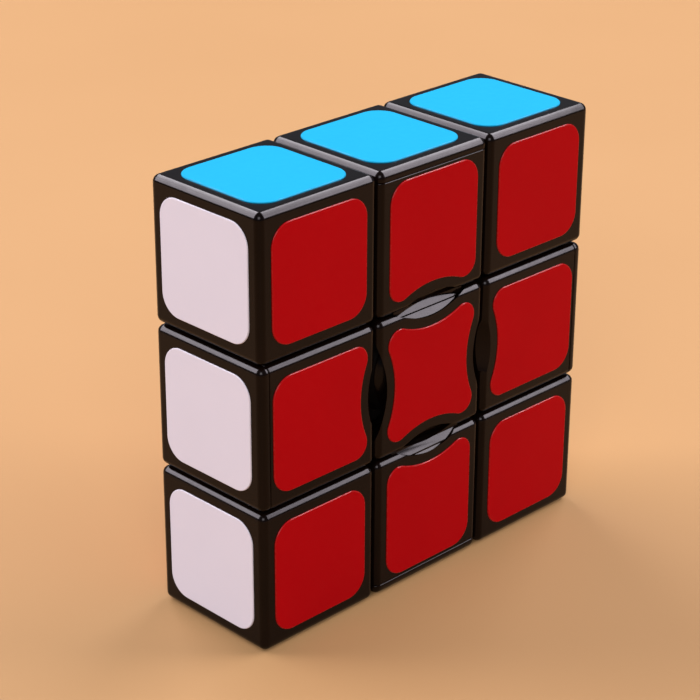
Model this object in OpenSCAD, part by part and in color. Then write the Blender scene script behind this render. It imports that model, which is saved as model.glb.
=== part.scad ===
/* [Overall] */
// Side of one cell of the three by three grid
cell = 19; // [18:0.5:20]
// Gap between neighbouring pieces
gap = 0.3; // [0.26:0.02:0.4]
// Fillet radius on the outer edges of every piece
fillet = 0.9; // [0.5:0.1:1.2]
// Wall thickness of the hollow shells
wall = 1.8; // [1.4:0.1:2.2]

/* [Mechanism] */
// Radius of the ball that the corner feet slide on
core_r = 9; // [8.9:0.05:9.05]
// Half width of the slit that the feet necks run in
slit = 1.65; // [1.6:0.05:1.75]
// Clearance between the feet and everything they slide past
clear = 0.2; // [0.15:0.05:0.25]
// Distance of the arm ends of the core from its middle
arm = 8; // [7.9:0.05:8.05]
// Distance from the middle to the joint face between the core and the centre caps
seam = 6; // [5.9:0.1:6.2]
// Radius of the tension screw shank
shank_r = 1.5; // [1.3:0.1:1.6]
// Radial running clearance of the hub bore on the screw shank
run = 0.08; // [0.04:0.01:0.1]
// Radius of the tension screw head
head_r = 3.2; // [3:0.1:3.3]
// Mean radius of the tension spring
spring_r = 2.7; // [2.5:0.1:2.8]
// Radius of the spring wire
wire_r = 0.35; // [0.3:0.05:0.4]
// Working turns of the spring
spring_turns = 5; // [3:1:6]
// Thickness of the separate outer cap of an edge piece
cap_t = 1.35; // [1.2:0.05:1.6]
// Half width of the lips that hang from the top and bottom edge pieces into the channel of the centre
lip_x = 6; // [4:0.1:6.2]
// Distance of the steps in the front and back grooves from the middle plane
step_y = 9.1; // [9:0.01:9.2]
// Depth of the steps in the front and back grooves
step = 0.22; // [0.15:0.01:0.3]

/* [Stickers] */
// Thickness of the coloured stickers
sticker_t = 0.15; // [0.1:0.05:0.2]
// Side of a sticker
sticker_w = 15.1; // [14.8:0.1:15.8]
// Corner radius of a sticker
sticker_r = 2.8; // [2:0.1:3.4]
// Margin between the hollow edge of a sticker and the lens opening
sticker_margin = 1.3; // [1:0.1:1.6]
// Corner radius beside the hollow edge of a sticker
sticker_tip_r = 2; // [1.6:0.1:2.2]

/* [Hidden] */
$fn = 96;
// half of a cell, size of one piece and half of it
h = cell / 2;
p = cell - gap;
ph = p / 2;
// height of the puzzle's middle above the surface that it stands on
mid = 1.5 * cell - gap / 2 + sticker_t;
// outer face of the outer pieces, measured from the middle
out = 1.5 * cell - gap / 2;
// inner face of the outer pieces
inn = h + gap / 2;
// running channel of the feet: radius, inner start, and reach of a foot
chan_r = arm + clear;
chan_u = 4.3;
foot_r = arm;
neck = slit - clear;
// hub of an edge piece
hub_u = arm + clear;
hub_top = hub_u + 3;
well_r = 4.2;
tube_r = 5.4;
cap_u = out - cap_t;
washer_t = 0.6;
// lips: lower end, inner side, and where their slope meets the steeper facet behind it
lip_u = 6.6;
lip_y = 6.5;
lip_sum = 16.95;
lip_line = 8.45;
lip_back = 7.7;
// arched roof of the hollow above the slope of a lip: radius and height of its highest line
roof_r = 17;
roof_u = 9.75;
// where the steep upper slope of a groove meets the inner face of the piece
groove_y = 8.57;
head_u = 21;
spring_lo = hub_top + washer_t;
spring_hi = head_u - washer_t;
black = [0.11, 0.085, 0.075];
red = [0.66, 0.055, 0.063];
blue = [0.19, 0.78, 1.0];
white = [0.9, 0.86, 0.87];
orange = [0.95, 0.42, 0.06];
green = [0.07, 0.56, 0.22];
yellow = [0.96, 0.83, 0.08];

// ---- shared shapes ----

// a frame whose +Z axis points along the named direction of the puzzle
module at_mid() { translate([0, 0, mid]) children(); }
module toward(d) {
  if (d == "top") children();
  if (d == "bottom") rotate([0, 180, 0]) children();
  if (d == "right") rotate([0, 90, 0]) children();
  if (d == "left") rotate([0, -90, 0]) children();
}

// outline of a rounded square, its corners as arcs of points
module round_square(w, r, n = 8) {
  c = w / 2 - r;
  polygon([for (q = [0:3], i = [0:n])
    let (a = q * 90 + i * 90 / n, sx = (q == 0 || q == 3) ? 1 : -1, sy = (q < 2) ? 1 : -1)
    [sx * c + r * cos(a), sy * c + r * sin(a)]]);
}

// points of an arc, and the arc that hollows a sticker beside a lens opening
function arc(cx, cy, r, a0, a1, n) = [for (i = [0:n]) let (a = a0 + (a1 - a0) * i / n) [cx + r * cos(a), cy + r * sin(a)]];
hollow_r = ph + slit + sticker_margin;

// a cube with rounded edges, centred
module piece_block() {
  intersection() {
    translate([0, 0, -h - 1]) linear_extrude(cell + 2) round_square(p, fillet, 6);
    rotate([90, 0, 0]) translate([0, 0, -h - 1]) linear_extrude(cell + 2) round_square(p, fillet, 6);
    rotate([0, 90, 0]) translate([0, 0, -h - 1]) linear_extrude(cell + 2) round_square(p, fillet, 6);
  }
}

// channel cut in the centre for one turning axis: room for feet, necks and hub
module centre_channel() {
  rotate_extrude() polygon([[0, chan_u], [chan_r, chan_u], [chan_r, chan_r - slit], [h + 0.5 + slit, h + 0.5], [0, h + 0.5]]);
}

// ---- centre ----

module core() color(black) at_mid() difference() {
  intersection() {
    sphere(core_r);
    cube([2 * arm, 2 * seam, 2 * arm], center = true);
  }
  for (d = ["top", "bottom", "left", "right"]) toward(d) translate([0, 0, 3]) cylinder(r = shank_r, h = arm);
  for (s = [-1, 1]) rotate([s * 90, 0, 0]) translate([0, 0, 3.2]) cylinder(r = 1.6, h = seam);
}

// built facing +Z, then turned to the front or to the back
module centre_cap() {
  difference() {
    intersection() {
      piece_block();
      translate([-h, -h, seam]) cube([cell, cell, cell]);
    }
    for (a = [0:90:270]) rotate([0, 0, a]) rotate([0, 90, 0]) centre_channel();
  }
  intersection() {
    sphere(core_r);
    translate([-arm, -arm, seam]) cube([2 * arm, 2 * arm, ph - seam - 0.5]);
  }
  translate([0, 0, 3.4]) cylinder(r = 1.6, h = seam - 3);
}
module centre_cap_front() color(black) at_mid() rotate([90, 0, 0]) centre_cap();
module centre_cap_back() color(black) at_mid() rotate([-90, 0, 0]) centre_cap();

// sticker of the centre, hollow on all four sides, facing +Z
module centre_sticker() {
  c = 2 * ph;
  t = (c - sqrt(2 * pow(hollow_r + sticker_tip_r, 2) - c * c)) / 2;
  a = atan2(t, c - t);
  linear_extrude(sticker_t) polygon([for (q = [0:90:270])
    each [for (v = concat(arc(c, 0, hollow_r, 180 + a, 180 - a, 14), arc(t, t, sticker_tip_r, -a + 4, 86 + a, 8)))
      [v[0] * cos(q) - v[1] * sin(q), v[0] * sin(q) + v[1] * cos(q)]]]);
}
module centre_sticker_front() color(red) at_mid() translate([0, -ph, 0]) rotate([90, 0, 0]) centre_sticker();
module centre_sticker_back() color(orange) at_mid() translate([0, ph, 0]) rotate([-90, 0, 0]) centre_sticker();

// ---- screws, springs and washers, one set for each edge piece ----

module tension_screw() difference() {
  union() {
    translate([0, 0, 3.2]) cylinder(r = shank_r, h = head_u - 3.2);
    translate([0, 0, head_u]) cylinder(r = head_r, h = 1.8);
  }
  for (a = [0, 90]) translate([0, 0, head_u + 1.3]) rotate(a) cube([3.6, 0.8, 1.8], center = true);
}
module tension_screws() color("silver") at_mid()
  for (d = ["top", "bottom", "left", "right"]) toward(d) tension_screw();

// points of a coil: rings of wire sections along a helix
function coil_ring(a, z, n) = [for (i = [0:n - 1]) let (b = i * 360 / n, r = spring_r + wire_r * cos(b))
  [r * cos(a), r * sin(a), z + wire_r * sin(b)]];
module coil() {
  n = 8;
  per = 10;
  steps = spring_turns * per;
  lo = spring_lo + wire_r;
  rise = spring_hi - spring_lo - 2 * wire_r;
  pts = [for (k = [0:steps]) each coil_ring(k * 360 / per, lo + rise * k / steps, n)];
  sides = [for (k = [0:steps - 1], i = [0:n - 1]) let (j = (i + 1) % n) [k * n + i, k * n + j, (k + 1) * n + j, (k + 1) * n + i]];
  tri = [for (s = sides) each [[s[0], s[2], s[1]], [s[0], s[3], s[2]]]];
  first = [for (i = [0:n - 1]) i];
  last = [for (i = [n - 1:-1:0]) steps * n + i];
  polyhedron(pts, concat(tri, [first, last]));
}
module tension_springs() color("silver") at_mid()
  for (d = ["top", "bottom", "left", "right"]) toward(d) coil();

module washer_ring(u) translate([0, 0, u]) difference() {
  cylinder(r = head_r + 0.3, h = washer_t);
  translate([0, 0, -1]) cylinder(r = shank_r + run, h = washer_t + 2);
}
module spring_washers() color("gainsboro") at_mid()
  for (d = ["top", "bottom", "left", "right"]) toward(d) { washer_ring(hub_top); washer_ring(head_u - washer_t); }

// ---- edge pieces, built along +Z ----

// lips at the front and back, their undersides a cone about the turning axis, with an arched hollow above the slope
module edge_lips() intersection() {
  for (m = [0, 1]) mirror([0, m, 0]) difference() {
    translate([-lip_x, 0, 0]) rotate([90, 0, 90]) linear_extrude(2 * lip_x) polygon([
      [lip_y, lip_u], [9.3, lip_u], [9.3, lip_sum - 9.3], [groove_y, lip_sum - groove_y], [groove_y, inn + 0.25], [lip_y, inn + 0.25]]);
    intersection() {
      translate([-h, 0, 0]) rotate([90, 0, 90]) linear_extrude(cell) polygon([
        [lip_line, lip_sum - lip_line], [groove_y, lip_sum - groove_y], [9.5, lip_sum - groove_y + 0.2], [9.5, inn + 0.2],
        [lip_back - 0.13, inn + 0.2], [lip_back, inn]]);
      translate([0, 13, roof_u - roof_r]) rotate([90, 0, 0]) cylinder(r = roof_r, h = 13);
    }
  }
  translate([0, 0, 5]) cylinder(r1 = 5 + neck, r2 = 11 + neck, h = 6);
}

// round openings in the front and back faces, with a stepped slope above and the slope of the lip below
module edge_grooves() intersection() {
  for (m = [0, 1]) mirror([0, m, 0]) translate([-h, 0, 0]) rotate([90, 0, 90]) linear_extrude(cell) polygon([
    [groove_y, inn], [step_y - 0.02, step_y + slit - step], [step_y, step_y + slit], [12, 12 + slit],
    [12, lip_sum - 12], [lip_line, lip_sum - lip_line], [lip_back, inn]]);
  rotate([90, 0, 0]) cylinder(r = ph + slit, h = 26, center = true);
}

// the top and bottom pieces have lips and stepped grooves, the left and right ones plain slits on all four sides
module edge_body(lips) difference() {
  union() {
    difference() {
      union() {
        intersection() {
          translate([0, 0, cell]) piece_block();
          translate([-h, -h, 0]) cube([cell, cell, cap_u]);
        }
        translate([0, 0, hub_u]) cylinder(r = arm - clear, h = 3);
      }
      // slits for the necks of the feet
      for (a = lips ? [0, 180] : [0, 90, 180, 270]) rotate([0, 0, a]) rotate([0, 90, 0])
        translate([0, 0, 2]) cylinder(r1 = 2 + slit, r2 = 12 + slit, h = 10);
      if (lips) edge_grooves();
    }
    if (lips) edge_lips();
  }
  // hollow inside, with a tube round the screw
  difference() {
    translate([-ph + wall, -ph + wall, hub_top + 1.6]) cube([p - 2 * wall, p - 2 * wall, cell]);
    translate([0, 0, hub_top]) cylinder(r = tube_r, h = cell);
  }
  translate([0, 0, hub_top]) cylinder(r = well_r, h = cell);
  translate([0, 0, 6]) cylinder(r = shank_r + run, h = 8);
}

module edge_cap() {
  intersection() {
    translate([0, 0, cell]) piece_block();
    translate([-h, -h, cap_u]) cube([cell, cell, cell]);
  }
  // plug that presses into the tube
  translate([0, 0, cap_u - 2]) cylinder(r = well_r, h = 2.2);
}

// front sticker of an edge piece, hollow towards the middle: drawn in the plane with the piece along +Y
module edge_face_sticker() {
  w = sticker_w / 2;
  x = w - sticker_tip_r;
  y = sqrt(pow(hollow_r + sticker_tip_r, 2) - x * x);
  a = atan2(y, x);
  linear_extrude(sticker_t) polygon(concat(
    arc(w - sticker_r, cell + w - sticker_r, sticker_r, 0, 90, 8),
    arc(-w + sticker_r, cell + w - sticker_r, sticker_r, 90, 180, 8),
    arc(-x, y, sticker_tip_r, 180, 356 - a, 8),
    arc(0, 0, hollow_r, 180 - a, a, 16),
    arc(x, y, sticker_tip_r, 184 + a, 360, 8)));
}
module plain_sticker() linear_extrude(sticker_t) round_square(sticker_w, sticker_r);

// place an edge front or back sticker for the direction d
module edge_front(d) at_mid() toward(d) translate([0, -ph, 0]) rotate([90, 0, 0]) edge_face_sticker();
module edge_back(d) at_mid() toward(d) translate([0, ph + sticker_t, 0]) rotate([90, 0, 0]) edge_face_sticker();
module edge_outer(d) at_mid() toward(d) translate([0, 0, out]) plain_sticker();

module top_edge_body() color(black) at_mid() toward("top") edge_body(true);
module top_edge_cap() color(black) at_mid() toward("top") edge_cap();
module top_edge_sticker_front() color(red) edge_front("top");
module top_edge_sticker_back() color(orange) edge_back("top");
module top_edge_sticker_top() color(blue) edge_outer("top");
module bottom_edge_body() color(black) at_mid() toward("bottom") edge_body(true);
module bottom_edge_cap() color(black) at_mid() toward("bottom") edge_cap();
module bottom_edge_sticker_front() color(red) edge_front("bottom");
module bottom_edge_sticker_back() color(orange) edge_back("bottom");
module bottom_edge_sticker_bottom() color(green) edge_outer("bottom");
module left_edge_body() color(black) at_mid() toward("left") edge_body(false);
module left_edge_cap() color(black) at_mid() toward("left") edge_cap();
module left_edge_sticker_front() color(red) edge_front("left");
module left_edge_sticker_back() color(orange) edge_back("left");
module left_edge_sticker_left() color(white) edge_outer("left");
module right_edge_body() color(black) at_mid() toward("right") edge_body(false);
module right_edge_cap() color(black) at_mid() toward("right") edge_cap();
module right_edge_sticker_front() color(red) edge_front("right");
module right_edge_sticker_back() color(orange) edge_back("right");
module right_edge_sticker_right() color(yellow) edge_outer("right");

// ---- corner pieces, built at +X +Z and mirrored into place ----

stem_w = 1.2;
stem_l = 7.6;
// distance from the middle, along the diagonal, to where the stem starts and ends
stem_a = 12.6;
stem_b = 19.4;
// the neck stops just short of the shell's rounded edge
neck_end = (inn + fillet) * sqrt(2) - fillet - 0.02;

module corner_place(sx, sz) at_mid() mirror([sx < 0 ? 1 : 0, 0, 0]) mirror([0, 0, sz < 0 ? 1 : 0]) children();

// slot and stem lie on the diagonal between the two neighbouring cells
module on_diagonal(a, b, w, l) rotate([0, -45, 0]) translate([a, -l / 2, -w / 2]) cube([b - a, l, w]);

module corner_shell() difference() {
  translate([cell, 0, cell]) piece_block();
  translate([inn + wall, -ph + wall, inn + wall]) cube([p - 2 * wall, p - 2 * wall, p - 2 * wall]);
  on_diagonal(stem_a, stem_b, stem_w, stem_l);
}

module corner_foot() {
  difference() {
    union() {
      intersection() {
        rotate([0, 90, 0]) translate([0, 0, 2]) cylinder(r = foot_r, h = foot_r - 2);
        translate([0, 0, 2]) cylinder(r = foot_r, h = foot_r - 2);
      }
      intersection() {
        rotate([0, 90, 0]) cylinder(r1 = neck, r2 = neck + 12, h = 12);
        cylinder(r1 = neck, r2 = neck + 12, h = 12);
        on_diagonal(4, neck_end, 12, 20);
      }
    }
    sphere(core_r + clear);
  }
  on_diagonal(stem_a, stem_b, stem_w, stem_l);
}

module corner_front(sx, sz) corner_place(sx, sz) translate([cell, -ph, cell]) rotate([90, 0, 0]) plain_sticker();
module corner_back(sx, sz) corner_place(sx, sz) translate([cell, ph, cell]) rotate([-90, 0, 0]) plain_sticker();
module corner_level(sx, sz) corner_place(sx, sz) translate([cell, 0, out]) plain_sticker();
module corner_side(sx, sz) corner_place(sx, sz) translate([out, 0, cell]) rotate([0, 90, 0]) plain_sticker();

module corner_tl_shell() color(black) corner_place(-1, 1) corner_shell();
module corner_tl_foot() color(black) corner_place(-1, 1) corner_foot();
module corner_tl_sticker_front() color(red) corner_front(-1, 1);
module corner_tl_sticker_back() color(orange) corner_back(-1, 1);
module corner_tl_sticker_top() color(blue) corner_level(-1, 1);
module corner_tl_sticker_left() color(white) corner_side(-1, 1);
module corner_tr_shell() color(black) corner_place(1, 1) corner_shell();
module corner_tr_foot() color(black) corner_place(1, 1) corner_foot();
module corner_tr_sticker_front() color(red) corner_front(1, 1);
module corner_tr_sticker_back() color(orange) corner_back(1, 1);
module corner_tr_sticker_top() color(blue) corner_level(1, 1);
module corner_tr_sticker_right() color(yellow) corner_side(1, 1);
module corner_bl_shell() color(black) corner_place(-1, -1) corner_shell();
module corner_bl_foot() color(black) corner_place(-1, -1) corner_foot();
module corner_bl_sticker_front() color(red) corner_front(-1, -1);
module corner_bl_sticker_back() color(orange) corner_back(-1, -1);
module corner_bl_sticker_bottom() color(green) corner_level(-1, -1);
module corner_bl_sticker_left() color(white) corner_side(-1, -1);
module corner_br_shell() color(black) corner_place(1, -1) corner_shell();
module corner_br_foot() color(black) corner_place(1, -1) corner_foot();
module corner_br_sticker_front() color(red) corner_front(1, -1);
module corner_br_sticker_back() color(orange) corner_back(1, -1);
module corner_br_sticker_bottom() color(green) corner_level(1, -1);
module corner_br_sticker_right() color(yellow) corner_side(1, -1);

core();
centre_cap_front();
centre_cap_back();
centre_sticker_front();
centre_sticker_back();
tension_screws();
tension_springs();
spring_washers();
top_edge_body();
top_edge_cap();
top_edge_sticker_front();
top_edge_sticker_back();
top_edge_sticker_top();
bottom_edge_body();
bottom_edge_cap();
bottom_edge_sticker_front();
bottom_edge_sticker_back();
bottom_edge_sticker_bottom();
left_edge_body();
left_edge_cap();
left_edge_sticker_front();
left_edge_sticker_back();
left_edge_sticker_left();
right_edge_body();
right_edge_cap();
right_edge_sticker_front();
right_edge_sticker_back();
right_edge_sticker_right();
corner_tl_shell();
corner_tl_foot();
corner_tl_sticker_front();
corner_tl_sticker_back();
corner_tl_sticker_top();
corner_tl_sticker_left();
corner_tr_shell();
corner_tr_foot();
corner_tr_sticker_front();
corner_tr_sticker_back();
corner_tr_sticker_top();
corner_tr_sticker_right();
corner_bl_shell();
corner_bl_foot();
corner_bl_sticker_front();
corner_bl_sticker_back();
corner_bl_sticker_bottom();
corner_bl_sticker_left();
corner_br_shell();
corner_br_foot();
corner_br_sticker_front();
corner_br_sticker_back();
corner_br_sticker_bottom();
corner_br_sticker_right();
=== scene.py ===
import bpy, bmesh, math
from mathutils import Matrix, Vector


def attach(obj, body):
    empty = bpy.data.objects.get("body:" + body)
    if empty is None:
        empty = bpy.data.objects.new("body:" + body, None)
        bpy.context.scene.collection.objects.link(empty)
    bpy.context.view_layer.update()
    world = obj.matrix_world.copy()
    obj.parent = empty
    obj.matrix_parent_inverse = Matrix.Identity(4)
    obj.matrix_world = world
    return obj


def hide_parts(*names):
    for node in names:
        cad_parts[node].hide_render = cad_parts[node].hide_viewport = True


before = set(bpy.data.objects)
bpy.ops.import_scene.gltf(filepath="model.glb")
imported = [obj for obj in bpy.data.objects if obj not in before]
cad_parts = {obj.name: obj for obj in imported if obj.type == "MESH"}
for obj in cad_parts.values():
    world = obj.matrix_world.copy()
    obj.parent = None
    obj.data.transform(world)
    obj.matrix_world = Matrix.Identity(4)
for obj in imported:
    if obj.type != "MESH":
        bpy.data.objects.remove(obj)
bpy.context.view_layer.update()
scene = bpy.context.scene

# ---------------------------------------------------------------- sizes, millimetres
MM = 0.001
CELL, P, PH = 19.0, 18.7, 9.35
MID, OUT, INN = 28.5, 28.35, 9.65
FIL = 0.95
SLIT, ARM, CORE_R, SEAM = 1.65, 8.0, 9.0, 6.0
CHAN_R, CHAN_U = 8.2, 4.3
CAP_U = 27.0
TH, SW, SR, SMARG = 0.15, 15.1, 2.8, 1.3


# ---------------------------------------------------------------- camera
def set_camera():
    az, el, dist, roll, f = math.radians(-44.739), math.radians(24.764), 279.26, 0.00448, 2181.0
    tgt = Vector((-0.2066, 4.6629, 26.9155))
    back = Vector((math.sin(az) * math.cos(el), -math.cos(az) * math.cos(el), math.sin(el)))
    fwd = -back
    right = fwd.cross(Vector((0, 0, 1))).normalized()
    up = right.cross(fwd)
    r2 = math.cos(roll) * right + math.sin(roll) * up
    u2 = -math.sin(roll) * right + math.cos(roll) * up
    cam = bpy.data.cameras.new("camera")
    ob = bpy.data.objects.new("camera", cam)
    scene.collection.objects.link(ob)
    cam.sensor_width = 36.0
    cam.lens = 36.0 * f / 700.0
    cam.clip_start, cam.clip_end = 0.01, 20
    loc = (tgt + back * dist) * MM
    m = Matrix((r2, u2, back)).transposed().to_4x4()
    m.translation = loc
    ob.matrix_world = m
    scene.camera = ob


set_camera()


# ---------------------------------------------------------------- materials
def nodes_of(name):
    mat = bpy.data.materials.new(name)
    mat.use_nodes = True
    nt = mat.node_tree
    nt.nodes.clear()
    out = nt.nodes.new("ShaderNodeOutputMaterial")
    bsdf = nt.nodes.new("ShaderNodeBsdfPrincipled")
    nt.links.new(bsdf.outputs[0], out.inputs[0])
    return mat, nt, bsdf


def noise(nt, vec, scale, detail=3.0, rough=0.5, stretch=None):
    n = nt.nodes.new("ShaderNodeTexNoise")
    n.inputs["Scale"].default_value = scale
    n.inputs["Detail"].default_value = detail
    n.inputs["Roughness"].default_value = rough
    if stretch:
        mp = nt.nodes.new("ShaderNodeMapping")
        mp.inputs["Scale"].default_value = stretch
        nt.links.new(vec, mp.inputs["Vector"])
        vec = mp.outputs[0]
    nt.links.new(vec, n.inputs["Vector"])
    return n.outputs["Fac"]


def ramp(nt, fac, stops):
    r = nt.nodes.new("ShaderNodeValToRGB")
    r.color_ramp.elements[0].position, r.color_ramp.elements[0].color = stops[0][0], (*stops[0][1], 1)
    r.color_ramp.elements[1].position, r.color_ramp.elements[1].color = stops[-1][0], (*stops[-1][1], 1)
    for pos, col in stops[1:-1]:
        e = r.color_ramp.elements.new(pos)
        e.color = (*col, 1)
    nt.links.new(fac, r.inputs["Fac"])
    return r.outputs["Color"]


def remap(nt, fac, lo, hi, a=0.3, b=0.7):
    m = nt.nodes.new("ShaderNodeMapRange")
    m.inputs["From Min"].default_value, m.inputs["From Max"].default_value = a, b
    m.inputs["To Min"].default_value, m.inputs["To Max"].default_value = lo, hi
    nt.links.new(fac, m.inputs["Value"])
    return m.outputs[0]


def bump(nt, height, strength, distance, before=None):
    b = nt.nodes.new("ShaderNodeBump")
    b.inputs["Strength"].default_value = strength
    b.inputs["Distance"].default_value = distance
    nt.links.new(height, b.inputs["Height"])
    if before is not None:
        nt.links.new(before, b.inputs["Normal"])
    return b.outputs[0]


def coords(nt):
    return nt.nodes.new("ShaderNodeTexCoord").outputs["Object"]


def black_plastic():
    mat, nt, b = nodes_of("black_abs")
    c = coords(nt)
    cloud = noise(nt, c, 160, 4)
    b.inputs["Specular IOR Level"].default_value = 0.135
    b.inputs["Specular Tint"].default_value = (1.0, 0.92, 0.97, 1)
    nt.links.new(ramp(nt, cloud, [(0.3, (0.0020, 0.0008, 0.0005)), (0.7, (0.0032, 0.0014, 0.0009))]), b.inputs["Base Color"])
    # polished moulding with faint handling marks
    haze = remap(nt, noise(nt, c, 420, 5, 0.6), 0.13, 0.20)
    hair = remap(nt, noise(nt, c, 1.0, 2, 0.5, stretch=(900, 900, 14000)), 0.0, 0.05, 0.55, 0.75)
    add = nt.nodes.new("ShaderNodeMath")
    add.operation = "ADD"
    nt.links.new(haze, add.inputs[0])
    nt.links.new(hair, add.inputs[1])
    nt.links.new(add.outputs[0], b.inputs["Roughness"])
    wave = bump(nt, noise(nt, c, 330, 2), 0.10, 0.00004)
    fine = bump(nt, noise(nt, c, 3800, 2), 0.05, 0.00001, wave)
    nt.links.new(fine, b.inputs["Normal"])
    return mat


def inner_plastic():
    """Unpolished moulding of the pieces inside."""
    mat, nt, b = nodes_of("inner_abs")
    c = coords(nt)
    b.inputs["Specular IOR Level"].default_value = 0.06
    nt.links.new(ramp(nt, noise(nt, c, 220, 4), [(0.3, (0.0024, 0.0014, 0.0010)), (0.7, (0.0040, 0.0024, 0.0018))]), b.inputs["Base Color"])
    nt.links.new(remap(nt, noise(nt, c, 900, 4), 0.42, 0.58), b.inputs["Roughness"])
    nt.links.new(bump(nt, noise(nt, c, 2400, 3), 0.25, 0.00002), b.inputs["Normal"])
    return mat


def vinyl(name, dark, mid, light, spec=0.025, rough=(0.34, 0.44)):
    mat, nt, b = nodes_of(name)
    c = coords(nt)
    cloud = noise(nt, c, 75, 4, 0.55)
    b.inputs["Specular IOR Level"].default_value = spec
    nt.links.new(ramp(nt, cloud, [(0.25, dark), (0.5, mid), (0.78, light)]), b.inputs["Base Color"])
    nt.links.new(remap(nt, noise(nt, c, 900, 4, 0.6), *rough), b.inputs["Roughness"])
    film = bump(nt, noise(nt, c, 240, 2), 0.06, 0.00003)
    grain = bump(nt, noise(nt, c, 5200, 2), 0.10, 0.000006, film)
    nt.links.new(grain, b.inputs["Normal"])
    return mat


def rim_vinyl(name, rgb, spec):
    """Cut edge of a sticker: the same film, glossier where the blade rolled it over."""
    mat, nt, b = nodes_of(name)
    c = coords(nt)
    b.inputs["Specular IOR Level"].default_value = spec
    nt.links.new(ramp(nt, noise(nt, c, 260, 3), [(0.3, tuple(0.92 * v for v in rgb)), (0.7, tuple(min(1.0, 1.08 * v) for v in rgb))]), b.inputs["Base Color"])
    nt.links.new(remap(nt, noise(nt, c, 1500, 3), 0.20, 0.34), b.inputs["Roughness"])
    nt.links.new(bump(nt, noise(nt, c, 2600, 2), 0.12, 0.000008), b.inputs["Normal"])
    return mat


def shades(rgb, spread=0.05):
    return [tuple(max(0.0, v * k) for v in rgb) for k in (1 - spread, 1.0, 1 + spread)]


def steel():
    mat, nt, b = nodes_of("plated_steel")
    c = coords(nt)
    b.inputs["Metallic"].default_value = 1.0
    nt.links.new(ramp(nt, noise(nt, c, 300, 4), [(0.3, (0.50, 0.50, 0.52)), (0.7, (0.66, 0.66, 0.68))]), b.inputs["Base Color"])
    nt.links.new(remap(nt, noise(nt, c, 1.0, 3, 0.6, stretch=(3000, 3000, 300)), 0.22, 0.38), b.inputs["Roughness"])
    nt.links.new(bump(nt, noise(nt, c, 2500, 3), 0.08, 0.00001), b.inputs["Normal"])
    return mat


FILM = {
    "red_sticker": ((0.285, 0.0011, 0.0028), 0.04),
    "blue_sticker": ((0.0086, 0.2375, 0.409), 0.02),
    "white_sticker": ((0.544, 0.500, 0.563), 0.015),
    "orange_sticker": ((0.74, 0.13, 0.0074), 0.04),
    "green_sticker": ((0.011, 0.24, 0.046), 0.04),
    "yellow_sticker": ((0.76, 0.51, 0.011), 0.03),
}
MAT = {"black_plastic": black_plastic(), "steel": steel(), "inner_plastic": inner_plastic()}
RIM = {}
for film, (rgb, spread) in FILM.items():
    MAT[film] = vinyl(film.replace("sticker", "vinyl"), *shades(rgb, spread))
    RIM[film] = rim_vinyl(film.replace("sticker", "rim"), rgb, 0.20 if film in ("red_sticker", "orange_sticker") else 0.05)


# ---------------------------------------------------------------- mesh tools (millimetres)
def obj_from(bm, name):
    bmesh.ops.recalc_face_normals(bm, faces=bm.faces[:])
    me = bpy.data.meshes.new(name)
    bm.to_mesh(me)
    bm.free()
    ob = bpy.data.objects.new(name, me)
    scene.collection.objects.link(ob)
    return ob


def block(centre, size=P, r=FIL, seg=7):
    bm = bmesh.new()
    bmesh.ops.create_cube(bm, size=size)
    bmesh.ops.bevel(bm, geom=bm.edges[:], offset=r, offset_type="OFFSET", segments=seg, profile=0.5, affect="EDGES", clamp_overlap=True)
    bmesh.ops.translate(bm, verts=bm.verts[:], vec=centre)
    return bm


def cut_plane(bm, co, no, rim=0.0):
    """Keeps the side that no points away from, closes the cut and softens its rim."""
    geom = bm.verts[:] + bm.edges[:] + bm.faces[:]
    res = bmesh.ops.bisect_plane(bm, geom=geom, plane_co=co, plane_no=no, clear_outer=True)
    rim_edges = [e for e in res["geom_cut"] if isinstance(e, bmesh.types.BMEdge)]
    fill = bmesh.ops.contextual_create(bm, geom=rim_edges)
    if rim:
        bmesh.ops.bevel(bm, geom=rim_edges, offset=rim, offset_type="OFFSET", segments=3, profile=0.5, affect="EDGES", clamp_overlap=True)
    return bm


def lathe(profile, name, n=160, axis="Z"):
    """Closed solid of revolution of (radius, height) points that start and end on the axis."""
    bm = bmesh.new()
    rings = []
    for r, h in profile:
        if r < 1e-6:
            rings.append([bm.verts.new((0, 0, h))])
        else:
            rings.append([bm.verts.new((r * math.cos(2 * math.pi * i / n), r * math.sin(2 * math.pi * i / n), h)) for i in range(n)])
    for a, b in zip(rings, rings[1:]):
        for i in range(n):
            j = (i + 1) % n
            if len(a) == 1 and len(b) == 1:
                continue
            if len(a) == 1:
                bm.faces.new((a[0], b[i], b[j]))
            elif len(b) == 1:
                bm.faces.new((a[i], a[j], b[0]))
            else:
                bm.faces.new((a[i], a[j], b[j], b[i]))
    if axis == "X":
        bmesh.ops.rotate(bm, verts=bm.verts[:], cent=(0, 0, 0), matrix=Matrix.Rotation(math.radians(90), 3, "Y"))
    return obj_from(bm, name)


def cuboid(lo, hi, name):
    bm = bmesh.new()
    bmesh.ops.create_cube(bm, size=1)
    for v in bm.verts:
        v.co = Vector(((lo[k] + hi[k]) / 2 + v.co[k] * (hi[k] - lo[k])) for k in range(3))
    return obj_from(bm, name)


def settled(me):
    """The same mesh with its points and faces in a fixed order, whatever order a cut left them in."""
    order = sorted(range(len(me.vertices)), key=lambda i: tuple(me.vertices[i].co))
    rank = {old: new for new, old in enumerate(order)}
    faces = []
    for p in me.polygons:
        ids = [rank[i] for i in p.vertices]
        k = ids.index(min(ids))
        faces.append(ids[k:] + ids[:k])
    new = bpy.data.meshes.new(me.name)
    new.from_pydata([me.vertices[i].co[:] for i in order], [], sorted(faces))
    new.update()
    bpy.data.meshes.remove(me)
    return new


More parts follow.
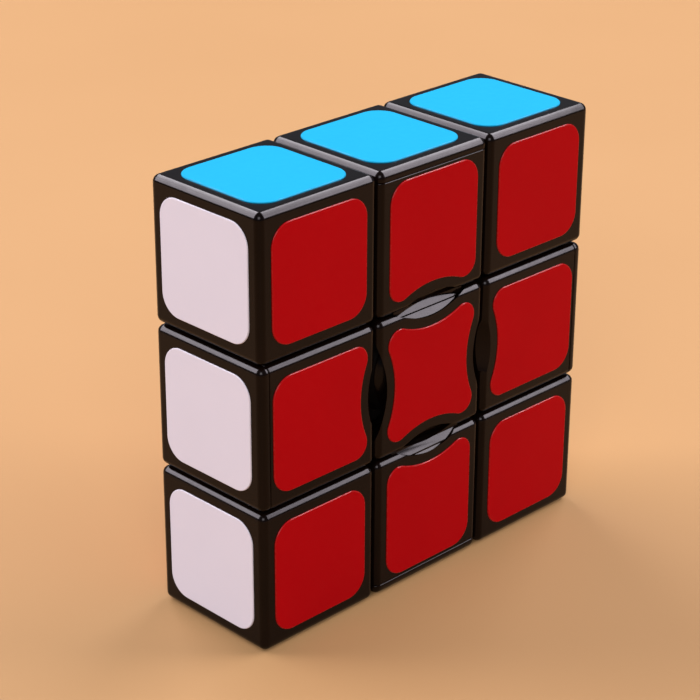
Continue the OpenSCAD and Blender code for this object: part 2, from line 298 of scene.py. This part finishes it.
def boolean(base, tool, op, keep=False):
    m = base.modifiers.new("b", "BOOLEAN")
    m.operation, m.solver, m.object = op, "EXACT", tool
    bpy.context.view_layer.update()
    dg = bpy.context.evaluated_depsgraph_get()
    me = settled(bpy.data.meshes.new_from_object(base.evaluated_get(dg)))
    base.modifiers.clear()
    old, base.data = base.data, me
    bpy.data.meshes.remove(old)
    if not keep:
        bpy.data.objects.remove(tool)
    return base


def turned(ob, matrix, name):
    me = ob.data.copy()
    me.transform(matrix)
    if matrix.to_3x3().determinant() < 0:
        me.flip_normals()
    new = bpy.data.objects.new(name, me)
    scene.collection.objects.link(new)
    return new


def drop(*obs):
    for o in obs:
        bpy.data.objects.remove(o)


def dress(ob, body, node, slot, sharp=32):
    """Final placing of a piece built in millimetres about the puzzle's middle."""
    ob.data.transform(Matrix.Scale(MM, 4))
    ob.data.transform(Matrix.Translation((0, 0, MID * MM)))
    if len(ob.data.materials):
        ob.data.materials.clear()
    ob.data.materials.append(MAT[slot])
    if slot in RIM:
        ob.data.materials.append(RIM[slot])
    for p in ob.data.polygons:
        p.use_smooth = True
    ob.data.set_sharp_from_angle(angle=math.radians(sharp))
    w = ob.modifiers.new("weighted", "WEIGHTED_NORMAL")
    w.keep_sharp = True
    w.weight = 100
    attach(ob, body)
    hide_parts(node)
    return ob


RX = lambda d: Matrix.Rotation(math.radians(d), 4, "X")
RY = lambda d: Matrix.Rotation(math.radians(d), 4, "Y")
RZ = lambda d: Matrix.Rotation(math.radians(d), 4, "Z")
TOWARD = {"top": Matrix.Identity(4), "bottom": RY(180), "right": RY(90), "left": RY(-90)}


# ---------------------------------------------------------------- grooves and lips of the edge pieces
STEP_Y, STEP, GROOVE_Y = 9.1, 0.22, 8.57
LIP_X, LIP_Y, LIP_U, LIP_S, LINE_Y, BACK_Y, NECK = 6.0, 6.5, 6.6, 16.95, 8.45, 7.7, 1.45
ROOF_R, ROOF_U = 17.0, 9.75


def prism(side, sy, half, name):
    """Points (distance to the front or back, height) drawn out sideways."""
    bm = bmesh.new()
    face = bm.faces.new([bm.verts.new((-half, sy * y, z)) for y, z in side])
    ext = bmesh.ops.extrude_face_region(bm, geom=[face])
    bmesh.ops.translate(bm, verts=[v for v in ext["geom"] if isinstance(v, bmesh.types.BMVert)], vec=(2 * half, 0, 0))
    return obj_from(bm, name)


def drum(sy, r, top, name):
    """Round bar to the front or back whose highest line lies at the height top."""
    ob = lathe([(0, 0), (r, 0), (r, 13), (0, 13)], name, 360)
    ob.data.transform(RX(90 if sy < 0 else -90))
    ob.data.transform(Matrix.Translation((0, 0, top - r)))
    return ob


def lip(sy):
    """Lip that hangs in the centre's channel, its underside a cone about the turning axis."""
    front = GROOVE_Y + 0.02
    ob = prism([(LIP_Y, LIP_U), (9.3, LIP_U), (9.3, LIP_S - 9.3), (front, LIP_S - front), (front, 9.9), (LIP_Y, 9.9)], sy, LIP_X, "lip")
    cone = lathe([(0, 5), (5 + NECK, 5), (11 + NECK, 11), (0, 11)], "lip_cone", 240)
    return boolean(ob, cone, "INTERSECT")


def lip_hollow(sy):
    """Arched hollow above the slope of the lip, with a fine line where the slope meets the steeper facet behind it."""
    u = LIP_S - LINE_Y
    ob = prism([(LINE_Y + 0.07, u - 0.09), (LINE_Y + 0.01, u - 0.20), (LINE_Y - 0.05, u - 0.16), (LINE_Y - 0.04, u + 0.05), (BACK_Y, INN), (BACK_Y - 0.13, 9.85),
                (9.8, 9.85), (9.8, LIP_S - 9.8 - 0.02)], sy, 8.5, "lip_hollow")
    return boolean(ob, drum(sy, ROOF_R, ROOF_U, "roof"), "INTERSECT")


def groove(sy):
    """Round opening in the front or back face, with a stepped slope."""
    ob = prism([(GROOVE_Y - 0.306, INN - 0.528), (STEP_Y - 0.02, STEP_Y + SLIT - STEP), (STEP_Y, STEP_Y + SLIT), (12, 12 + SLIT), (12, LIP_S - 12)], sy, 9, "groove")
    return boolean(ob, drum(sy, PH + SLIT, PH + SLIT, "round"), "INTERSECT")


# ---------------------------------------------------------------- edge pieces
def make_edge_body(lips):
    ob = obj_from(cut_plane(block((0, 0, CELL)), (0, 0, CAP_U - 0.035), (0, 0, 1), 0.10), "edge_master")
    hub = lathe([(0, 8.2), (7.6, 8.2), (7.8, 8.4), (7.8, 11.2), (0, 11.2)], "hub")
    boolean(ob, hub, "UNION")
    for a in (0, 180) if lips else (0, 90, 180, 270):
        cone = lathe([(0, 2), (2 + SLIT, 2), (12 + SLIT, 12), (0, 12)], "cone", 200, "X")
        cone.data.transform(RZ(a))
        boolean(ob, cone, "DIFFERENCE")
    for sy in (1, -1) if lips else ():
        boolean(ob, groove(sy), "DIFFERENCE")
        boolean(ob, lip(sy), "UNION")
        boolean(ob, lip_hollow(sy), "DIFFERENCE")
    hollow = cuboid((-PH + 1.8, -PH + 1.8, 12.8), (PH - 1.8, PH - 1.8, 30), "hollow")
    tube = lathe([(0, 11), (5.4, 11), (5.4, 31), (0, 31)], "tube", 96)
    boolean(hollow, tube, "DIFFERENCE")
    boolean(ob, hollow, "DIFFERENCE")
    well = lathe([(0, 6), (1.58, 6), (1.58, 11.2), (4.2, 11.2), (4.2, 30), (0, 30)], "well", 96)
    boolean(ob, well, "DIFFERENCE")
    return ob


def make_edge_cap():
    ob = obj_from(cut_plane(block((0, 0, CELL)), (0, 0, CAP_U + 0.035), (0, 0, -1), 0.10), "cap_master")
    plug = lathe([(0, 25), (3.95, 25), (4.18, 25.25), (4.18, 27.3), (0, 27.3)], "plug", 96)
    boolean(ob, plug, "UNION")
    return ob


# ---------------------------------------------------------------- centre caps, built facing +Z
def make_centre_cap():
    ob = obj_from(cut_plane(block((0, 0, 0)), (0, 0, SEAM), (0, 0, -1)), "centre_master")
    for a in range(4):
        ch = lathe([(0, CHAN_U), (CHAN_R, CHAN_U), (CHAN_R, CHAN_R - SLIT), (10 + SLIT, 10), (0, 10)], "ch", 200, "X")
        ch.data.transform(RZ(90 * a))
        boolean(ob, ch, "DIFFERENCE")
    rs = math.sqrt(CORE_R ** 2 - SEAM ** 2)
    pts = [(0, SEAM + 0.03), (rs - 0.16, SEAM + 0.03), (rs - 0.05, SEAM + 0.10)]
    for i in range(1, 24):
        t = math.asin(SEAM / CORE_R) + (math.asin(8.85 / CORE_R) - math.asin(SEAM / CORE_R)) * i / 24
        if CORE_R * math.sin(t) > SEAM + 0.15:
            pts.append((CORE_R * math.cos(t), CORE_R * math.sin(t)))
    pts.append((0, 8.85))
    ball = lathe(pts, "ball", 160)
    boolean(ob, ball, "UNION")
    peg = lathe([(0, 3.4), (1.35, 3.4), (1.58, 3.65), (1.58, 6.4), (0, 6.4)], "peg", 64)
    boolean(ob, peg, "UNION")
    return ob


# ---------------------------------------------------------------- corner shells, built at +X +Z
def make_corner():
    ob = obj_from(block((CELL, 0, CELL)), "corner_master")
    inner = cuboid((INN + 1.8, -PH + 1.8, INN + 1.8), (OUT - 1.8, PH - 1.8, OUT - 1.8), "inner")
    boolean(ob, inner, "DIFFERENCE")
    slot = cuboid((12.6, -3.8, -0.6), (19.4, 3.8, 0.6), "slot")
    slot.data.transform(RY(-45))
    boolean(ob, slot, "DIFFERENCE")
    return ob


# ---------------------------------------------------------------- stickers
def arc(cx, cy, r, a0, a1, n=10):
    return [(cx + r * math.cos(math.radians(a0 + (a1 - a0) * i / n)), cy + r * math.sin(math.radians(a0 + (a1 - a0) * i / n))) for i in range(n + 1)]


def outline_plain():
    c = SW / 2 - SR
    pts = []
    for q, (sx, sy) in enumerate(((1, 1), (-1, 1), (-1, -1), (1, -1))):
        pts += arc(sx * c, sy * c, SR, 90 * q, 90 * q + 90, 12)
    return pts


def outline_edge():
    """Piece along +Y from the middle: rounded outside corners, hollow side towards the middle."""
    w, r2, big = SW / 2, 2.0, PH + SLIT + SMARG
    c = w - SR
    top = CELL + w
    pts = arc(c, top - SR, SR, 0, 90, 12) + arc(-c, top - SR, SR, 90, 180, 12)
    x = w - r2
    y = math.sqrt((big + r2) ** 2 - x * x)
    a = math.degrees(math.atan2(y, x))
    pts += arc(-x, y, r2, 180, 360 - a, 12)
    pts += arc(0, 0, big, 180 - a, a, 28)[1:-1]
    pts += arc(x, y, r2, 180 + a, 360, 12)
    return pts


def outline_centre():
    big, r = PH + SLIT + SMARG, 1.9
    c = PH - SLIT + PH + SLIT
    t = (c - math.sqrt(2 * (big + r) ** 2 - c * c)) / 2
    a = math.degrees(math.atan2(t, c - t))
    pts = []
    for q in range(4):
        quarter = arc(c, 0, big, 180 + a, 180 - a, 20)[1:-1] + arc(t, t, r, -a, 90 + a, 14)
        co, si = round(math.cos(math.pi / 2 * q)), round(math.sin(math.pi / 2 * q))
        pts += [(co * x - si * y, si * x + co * y) for x, y in quarter]
    return pts


def sticker(outline, name):
    """Thin vinyl plate lying on z = 0, its upper rim rolled over where the cut was made."""
    bm = bmesh.new()
    low = [bm.verts.new((x, y, 0)) for x, y in outline]
    face = bm.faces.new(low)
    ext = bmesh.ops.extrude_face_region(bm, geom=[face])
    up = [v for v in ext["geom"] if isinstance(v, bmesh.types.BMVert)]
    bmesh.ops.translate(bm, verts=up, vec=(0, 0, TH))
    bmesh.ops.recalc_face_normals(bm, faces=bm.faces[:])
    rim = [e for e in bm.edges if all(abs(v.co.z - TH) < 1e-6 for v in e.verts)]
    bmesh.ops.bevel(bm, geom=rim, offset=0.12, offset_type="OFFSET", segments=3, profile=0.5, affect="EDGES", clamp_overlap=True)
    bm.normal_update()
    for f in bm.faces:
        f.material_index = 0 if abs(f.normal.z) > 0.99 else 1
    return obj_from(bm, name)


# ---------------------------------------------------------------- build
edge_lip, edge_plain, edge_cap, centre_cap, corner = make_edge_body(True), make_edge_body(False), make_edge_cap(), make_centre_cap(), make_corner()
s_plain, s_edge, s_centre = sticker(outline_plain(), "sp"), sticker(outline_edge(), "se"), sticker(outline_centre(), "sc")
COL = {"front": "red_sticker", "back": "orange_sticker", "top": "blue_sticker", "bottom": "green_sticker", "left": "white_sticker", "right": "yellow_sticker"}
T = Matrix.Translation

for side, turn in (("front", RX(90)), ("back", RX(-90))):
    dress(turned(centre_cap, turn, f"v_centre_cap_{side}"), "centre", f"centre_cap_{side}", "black_plastic")
    dress(turned(s_centre, turn @ T((0, 0, PH)), f"v_centre_sticker_{side}"), "centre", f"centre_sticker_{side}", COL[side], 40)
for d, turn in TOWARD.items():
    body = d + "_edge"
    dress(turned(edge_lip if d in ("top", "bottom") else edge_plain, turn, f"v_{d}_edge_body"), body, f"{d}_edge_body", "black_plastic")
    dress(turned(edge_cap, turn, f"v_{d}_edge_cap"), body, f"{d}_edge_cap", "black_plastic")
    dress(turned(s_edge, turn @ T((0, -PH, 0)) @ RX(90), f"v_{d}_edge_sticker_front"), body, f"{d}_edge_sticker_front", COL["front"], 40)
    dress(turned(s_edge, turn @ RZ(180) @ T((0, -PH, 0)) @ RX(90), f"v_{d}_edge_sticker_back"), body, f"{d}_edge_sticker_back", COL["back"], 40)
    dress(turned(s_plain, turn @ T((0, 0, OUT)), f"v_{d}_edge_sticker_{d}"), body, f"{d}_edge_sticker_{d}", COL[d], 40)
for k, sx, sz, v, h in (("tl", -1, 1, "top", "left"), ("tr", 1, 1, "top", "right"), ("bl", -1, -1, "bottom", "left"), ("br", 1, -1, "bottom", "right")):
    body = f"corner_{v}_{h}"
    mir = Matrix.Diagonal((sx, 1, sz, 1))
    dress(turned(corner, mir, f"v_corner_{k}_shell"), body, f"corner_{k}_shell", "black_plastic")
    at = T((sx * CELL, 0, sz * CELL))
    dress(turned(s_plain, at @ T((0, -PH, 0)) @ RX(90), f"v_corner_{k}_sticker_front"), body, f"corner_{k}_sticker_front", COL["front"], 40)
    dress(turned(s_plain, at @ T((0, PH, 0)) @ RX(-90), f"v_corner_{k}_sticker_back"), body, f"corner_{k}_sticker_back", COL["back"], 40)
    dress(turned(s_plain, at @ TOWARD[v] @ T((0, 0, PH)), f"v_corner_{k}_sticker_{v}"), body, f"corner_{k}_sticker_{v}", COL[v], 40)
    dress(turned(s_plain, at @ TOWARD[h] @ T((0, 0, PH)), f"v_corner_{k}_sticker_{h}"), body, f"corner_{k}_sticker_{h}", COL[h], 40)
drop(edge_lip, edge_plain, edge_cap, centre_cap, corner, s_plain, s_edge, s_centre)

# inner pieces stay as they are and get a finish
for n in ("core", "corner_tl_foot", "corner_tr_foot", "corner_bl_foot", "corner_br_foot", "tension_screws", "tension_springs", "spring_washers"):
    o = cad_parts[n]
    o.data.materials.clear()
    o.data.materials.append(MAT["steel" if n in ("tension_screws", "tension_springs", "spring_washers") else "inner_plastic"])


# ---------------------------------------------------------------- stage
def floor():
    bm = bmesh.new()
    bmesh.ops.create_grid(bm, x_segments=8, y_segments=8, size=4.0)
    ob = obj_from(bm, "floor")
    mat, nt, b = nodes_of("floor_paper")
    c = coords(nt)
    b.inputs["Specular IOR Level"].default_value = 0.2
    b.inputs["Roughness"].default_value = 0.7
    nt.links.new(ramp(nt, noise(nt, c, 9, 3), [(0.3, (0.309, 0.170, 0.0704)), (0.7, (0.324, 0.180, 0.0760))]), b.inputs["Base Color"])
    ob.data.materials.append(mat)


def softbox(name, a, b, aim, width, watts, col=(1, 1, 1)):
    """Soft strip whose long middle line runs from a to b, facing the aim point."""
    a, b, aim = Vector(a), Vector(b), Vector(aim)
    li = bpy.data.lights.new(name, "AREA")
    li.shape, li.size, li.size_y, li.energy, li.color = "RECTANGLE", (b - a).length, width, watts, col
    ob = bpy.data.objects.new(name, li)
    scene.collection.objects.link(ob)
    x = (b - a).normalized()
    z = (a + b) / 2 - aim
    z = (z - z.dot(x) * x).normalized()
    m = Matrix((x, z.cross(x), z)).transposed().to_4x4()
    m.translation = (a + b) / 2
    ob.matrix_world = m
    return ob


floor()
# two soft arches of three panels each, to the right and behind, and a weak panel from the front left
for k in range(3):
    ends = []
    for turn in (-27.4 + 33.33 * k, 5.93 + 33.33 * k):
        ends.append((0.52, -0.624 * math.sin(math.radians(turn)), 0.03 + 0.624 * math.cos(math.radians(turn))))
    softbox(f"right_panel_{k}", ends[0], ends[1], (0, 0, 0.03), 0.20, 3.5, (1.0, 0.96, 1.02))
    softbox(f"back_panel_{k}", (ends[0][1], ends[0][0], ends[0][2]), (ends[1][1], ends[1][0], ends[1][2]), (0, 0, 0.03), 0.20, 3.5, (1.0, 0.96, 1.02))
softbox("front_left_panel", (-1.0, -0.45, 0.75), (-0.5, -0.95, 0.75), (0, 0, 0.03), 0.7, 12.0)
w = bpy.data.worlds.new("studio")
scene.world = w
w.use_nodes = True
bg = w.node_tree.nodes["Background"]
bg.inputs["Color"].default_value = (0.74, 0.85, 1.0, 1)
bg.inputs["Strength"].default_value = 0.24
scene.view_settings.view_transform = "Standard"
scene.view_settings.look = "None"
